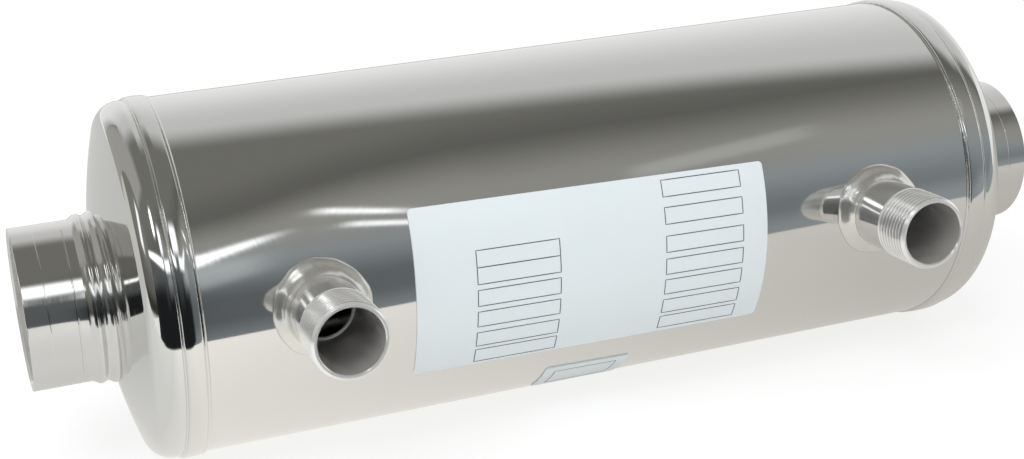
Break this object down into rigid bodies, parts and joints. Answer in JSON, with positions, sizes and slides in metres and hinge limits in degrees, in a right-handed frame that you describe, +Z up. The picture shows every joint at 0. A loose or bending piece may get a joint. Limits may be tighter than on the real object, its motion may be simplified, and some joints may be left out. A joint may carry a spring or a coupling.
{
  "type": "shell and tube heat exchanger",
  "caption": "Polished steel shell-and-tube heat exchanger with dished ends, plain pool pipe stubs on both ends and threaded heating nozzles on one side",
  "frame": {"origin": "centre of the left pool stub's mouth, where the pool pipe holds the exchanger", "axes": "+X along the shell from left to right, -Y the way the heating nozzles point, +Z up"},
  "size_m": [0.4014, 0.1659, 0.131],
  "materials": {
    "polished_steel": "mirror polished",
    "turned_steel": "fine turned",
    "weld_steel": "brushed weld bead",
    "inner_steel": "drawn",
    "label_film": "satin printed film"
  },
  "bodies": {
    "root": {"shell": "polished_steel", "end_cap_left": "polished_steel", "end_cap_right": "polished_steel", "tube_sheet_left": "polished_steel", "tube_sheet_right": "polished_steel", "pool_stub_left": "turned_steel", "pool_stub_right": "turned_steel", "heating_nozzle_left": "turned_steel", "heating_nozzle_right": "turned_steel", "stub_weld_left": "weld_steel", "stub_weld_right": "weld_steel", "nozzle_weld_left": "weld_steel", "nozzle_weld_right": "weld_steel", "seam_weld_shell_left": "weld_steel", "seam_weld_shell_right": "weld_steel", "seam_weld_cap_left": "weld_steel", "seam_weld_cap_right": "weld_steel", "tube_row_1": "inner_steel", "tube_row_2": "inner_steel", "tube_row_3": "inner_steel", "tube_row_4": "inner_steel", "tube_row_5": "inner_steel", "tube_row_6": "inner_steel", "tube_row_7": "inner_steel", "baffle_left": "inner_steel", "baffle_middle": "inner_steel", "baffle_right": "inner_steel", "data_label": "label_film", "small_label": "label_film"}
  },
  "joints": []
}
